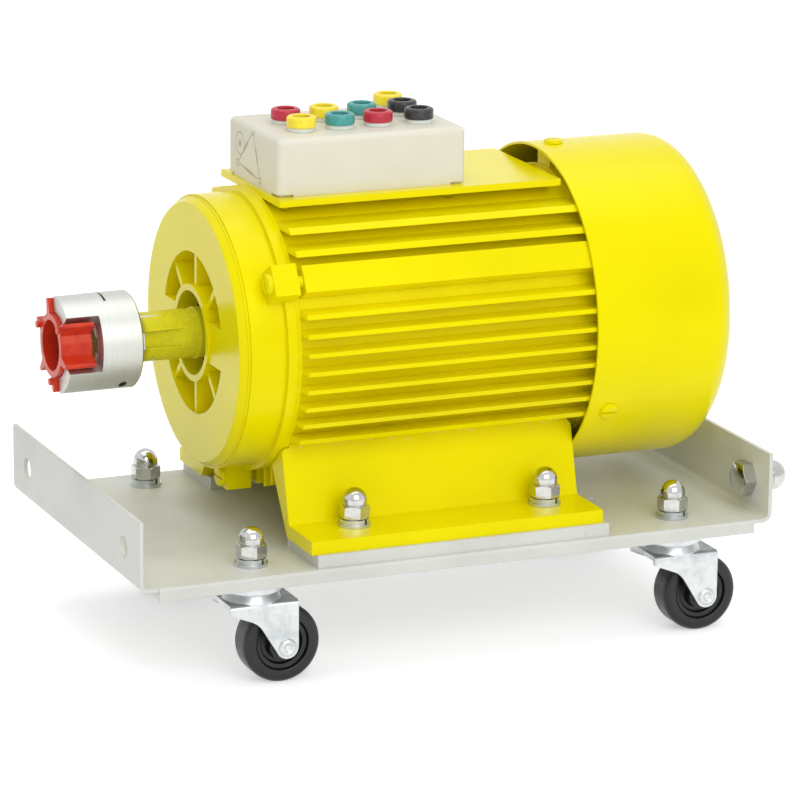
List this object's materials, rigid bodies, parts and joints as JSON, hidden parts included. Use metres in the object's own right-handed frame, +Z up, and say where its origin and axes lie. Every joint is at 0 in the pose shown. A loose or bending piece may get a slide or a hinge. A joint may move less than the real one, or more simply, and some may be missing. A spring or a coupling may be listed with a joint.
{
  "type": "demonstration electric motor",
  "caption": "Foot-mounted finned electric motor with fan cowl, socket box and jaw coupling, bolted to a folded tray on swivel castors.",
  "frame": {"origin": "on the floor, at the middle of the part's box", "axes": "+X along the shaft from the coupling to the fan cowl, +Y to the back, +Z up"},
  "size_m": [0.3606, 0.1868, 0.2594],
  "materials": {
    "bearing_steel": "ground bearing steel",
    "box_plastic": "fine-textured pale grey moulding",
    "cast_aluminium": "die-cast aluminium, as cast",
    "fan_plastic": "matt black moulded plastic",
    "grey_paint": "smooth semi-gloss powder coat, pale warm grey",
    "hub_aluminium": "turned aluminium, fine lathe lines",
    "key_steel": "plain key steel, lightly oiled",
    "lamination_steel": "stacked electrical steel sheet, oiled",
    "nickel_plate": "polished nickel plating",
    "painted_shaft": "steel, thinly painted yellow, bright where the paint is worn",
    "plated_brass": "nickel-plated turned brass",
    "seal_rubber": "nitrile rubber",
    "socket_black": "moulded black insulation",
    "socket_red": "moulded red insulation",
    "socket_teal": "moulded blue-green insulation",
    "socket_yellow": "moulded yellow insulation",
    "spider_elastomer": "glossy red moulded elastomer",
    "wheel_plastic": "hard black wheel plastic, semi-gloss",
    "winding_copper": "varnished copper wire",
    "yellow_paint": "thick glossy lemon yellow enamel",
    "zinc_plate": "bluish bright zinc plating on pressed steel"
  },
  "bodies": {
    "root": {"base_tray": "grey_paint", "bearing_wave_spring": "zinc_plate", "castor_dome_nuts": "nickel_plate", "castor_raceways": "zinc_plate", "castor_spring_washers": "zinc_plate", "castor_stems": "zinc_plate", "castor_washers": "zinc_plate", "cowl_screws": "yellow_paint", "drive_bearing_outer_ring": "bearing_steel", "drive_end_shield": "yellow_paint", "drive_shield_screws": "yellow_paint", "fan_bearing_outer_ring": "bearing_steel", "fan_cowl": "yellow_paint", "fan_end_shield": "yellow_paint", "fan_shield_screws": "yellow_paint", "foot_back": "yellow_paint", "foot_bolts": "zinc_plate", "foot_dome_nuts": "nickel_plate", "foot_front": "yellow_paint", "foot_shim_back": "grey_paint", "foot_shim_front": "grey_paint", "foot_spring_washers": "zinc_plate", "foot_washers": "zinc_plate", "motor_frame": "yellow_paint", "shaft_seal": "seal_rubber", "socket_contacts": "plated_brass", "socket_nuts": "plated_brass", "sockets_black": "socket_black", "sockets_red": "socket_red", "sockets_teal": "socket_teal", "sockets_yellow": "socket_yellow", "stator_core": "lamination_steel", "stator_windings": "winding_copper", "terminal_box": "box_plastic", "terminal_box_base": "box_plastic", "terminal_box_screws": "zinc_plate", "wall_bolts": "zinc_plate", "wall_dome_nuts": "nickel_plate"},
    "rotor": {"shaft": "painted_shaft", "coupling_key": "key_steel", "rotor_core": "lamination_steel", "rotor_end_rings": "cast_aluminium", "drive_bearing_inner_ring": "bearing_steel", "fan_bearing_inner_ring": "bearing_steel", "fan": "fan_plastic", "coupling_hub": "hub_aluminium", "hub_clamp_screw": "key_steel", "coupling_spider": "spider_elastomer"},
    "castor_front_left": {"castor_fork_front_left": "zinc_plate", "castor_axle_front_left": "zinc_plate"},
    "wheel_front_left": {"castor_wheel_front_left": "wheel_plastic"},
    "castor_front_right": {"castor_fork_front_right": "zinc_plate", "castor_axle_front_right": "zinc_plate"},
    "wheel_front_right": {"castor_wheel_front_right": "wheel_plastic"},
    "castor_back_left": {"castor_fork_back_left": "zinc_plate", "castor_axle_back_left": "zinc_plate"},
    "wheel_back_left": {"castor_wheel_back_left": "wheel_plastic"},
    "castor_back_right": {"castor_fork_back_right": "zinc_plate", "castor_axle_back_right": "zinc_plate"},
    "wheel_back_right": {"castor_wheel_back_right": "wheel_plastic"}
  },
  "joints": [
    {"name": "shaft_spin", "type": "hinge", "parent": "root", "child": "rotor", "pos_m": [-0.13955, 0, 0.154], "axis": [1, 0, 0], "continuous": true},
    {"name": "castor_swivel_front_left", "type": "hinge", "parent": "root", "child": "castor_front_left", "pos_m": [-0.10455, -0.0732, 0.0424], "axis": [0, 0, 1], "continuous": true},
    {"name": "wheel_spin_front_left", "type": "hinge", "parent": "castor_front_left", "child": "wheel_front_left", "pos_m": [-0.09135, -0.0732, 0.0193], "axis": [0, 1, 0], "continuous": true},
    {"name": "castor_swivel_back_left", "type": "hinge", "parent": "root", "child": "castor_back_left", "pos_m": [-0.10455, 0.0732, 0.0424], "axis": [0, 0, 1], "continuous": true},
    {"name": "wheel_spin_back_left", "type": "hinge", "parent": "castor_back_left", "child": "wheel_back_left", "pos_m": [-0.09135, 0.0732, 0.0193], "axis": [0, 1, 0], "continuous": true},
    {"name": "castor_swivel_front_right", "type": "hinge", "parent": "root", "child": "castor_front_right", "pos_m": [0.11735, -0.0732, 0.0424], "axis": [0, 0, 1], "continuous": true},
    {"name": "wheel_spin_front_right", "type": "hinge", "parent": "castor_front_right", "child": "wheel_front_right", "pos_m": [0.13055, -0.0732, 0.0193], "axis": [0, 1, 0], "continuous": true},
    {"name": "castor_swivel_back_right", "type": "hinge", "parent": "root", "child": "castor_back_right", "pos_m": [0.11735, 0.0732, 0.0424], "axis": [0, 0, 1], "continuous": true},
    {"name": "wheel_spin_back_right", "type": "hinge", "parent": "castor_back_right", "child": "wheel_back_right", "pos_m": [0.13055, 0.0732, 0.0193], "axis": [0, 1, 0], "continuous": true}
  ]
}
